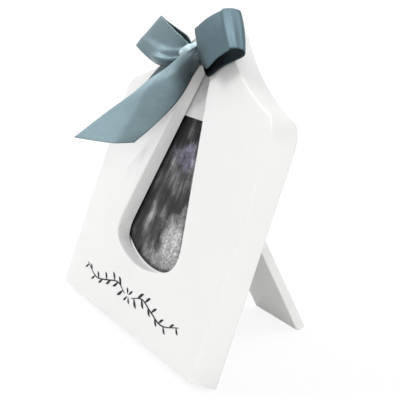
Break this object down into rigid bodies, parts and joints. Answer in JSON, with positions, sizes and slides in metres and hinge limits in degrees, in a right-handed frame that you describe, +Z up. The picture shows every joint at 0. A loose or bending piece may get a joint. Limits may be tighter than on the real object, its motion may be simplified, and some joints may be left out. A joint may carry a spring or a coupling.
{
  "type": "photo frame",
  "caption": "Leaning board frame for an ultrasound scan print, with a fan-shaped glazed window, a ribbon bow, turn buttons on the back and a folding easel leg.",
  "frame": {"origin": "middle of the footprint box, at the height of the surface that the frame stands on", "axes": "+X to the right seen from the front, +Y from the front panel towards the easel leg, +Z up"},
  "size_m": [0.18, 0.0798, 0.1421],
  "materials": {
    "painted_board": "white satin paint on fibreboard",
    "clear_sheet": "clear gloss",
    "print": "glossy thermal print",
    "back_board": "off-white matte",
    "zinc_steel": "zinc plated",
    "ribbon": "slate-blue satin",
    "foam": "matte adhesive foam"
  },
  "bodies": {
    "frame": {"front_panel": "painted_board", "glazing": "clear_sheet", "scan_print": "print", "back_board": "back_board", "button_screw_side_left": "zinc_steel", "button_screw_side_right": "zinc_steel", "button_screw_lower_left": "zinc_steel", "button_screw_lower_right": "zinc_steel", "hinge_bracket": "zinc_steel", "bracket_rivet_1": "zinc_steel", "bracket_rivet_2": "zinc_steel", "hinge_pin": "zinc_steel", "bow_pad": "foam", "bow_knot": "ribbon", "bow_loop_right": "ribbon", "bow_loop_left": "ribbon", "bow_tail_front": "ribbon", "bow_tail_rear": "ribbon"},
    "leg": {"easel_leg": "painted_board", "hinge_strap": "zinc_steel", "strap_rivet_1": "zinc_steel", "strap_rivet_2": "zinc_steel"},
    "button_side_left": {"turn_button_side_left": "zinc_steel"},
    "button_side_right": {"turn_button_side_right": "zinc_steel"},
    "button_lower_left": {"turn_button_lower_left": "zinc_steel"},
    "button_lower_right": {"turn_button_lower_right": "zinc_steel"}
  },
  "joints": [
    {"name": "leg_fold", "type": "hinge", "parent": "frame", "child": "leg", "pos_m": [0, 0.00519, 0.0763], "axis": [-1, 0, 0], "range_deg": [0, 44.9]},
    {"name": "button_side_left_turn", "type": "hinge", "parent": "frame", "child": "button_side_left", "pos_m": [-0.05511, 0.00223, 0.08264], "axis": [0, 0.9432, -0.3322], "continuous": true},
    {"name": "button_side_right_turn", "type": "hinge", "parent": "frame", "child": "button_side_right", "pos_m": [0.05511, 0.00223, 0.08264], "axis": [0, 0.9432, -0.3322], "continuous": true},
    {"name": "button_lower_left_turn", "type": "hinge", "parent": "frame", "child": "button_lower_left", "pos_m": [-0.042, -0.02195, 0.01397], "axis": [0, 0.9432, -0.3322], "continuous": true},
    {"name": "button_lower_right_turn", "type": "hinge", "parent": "frame", "child": "button_lower_right", "pos_m": [0.042, -0.02195, 0.01397], "axis": [0, 0.9432, -0.3322], "continuous": true}
  ]
}
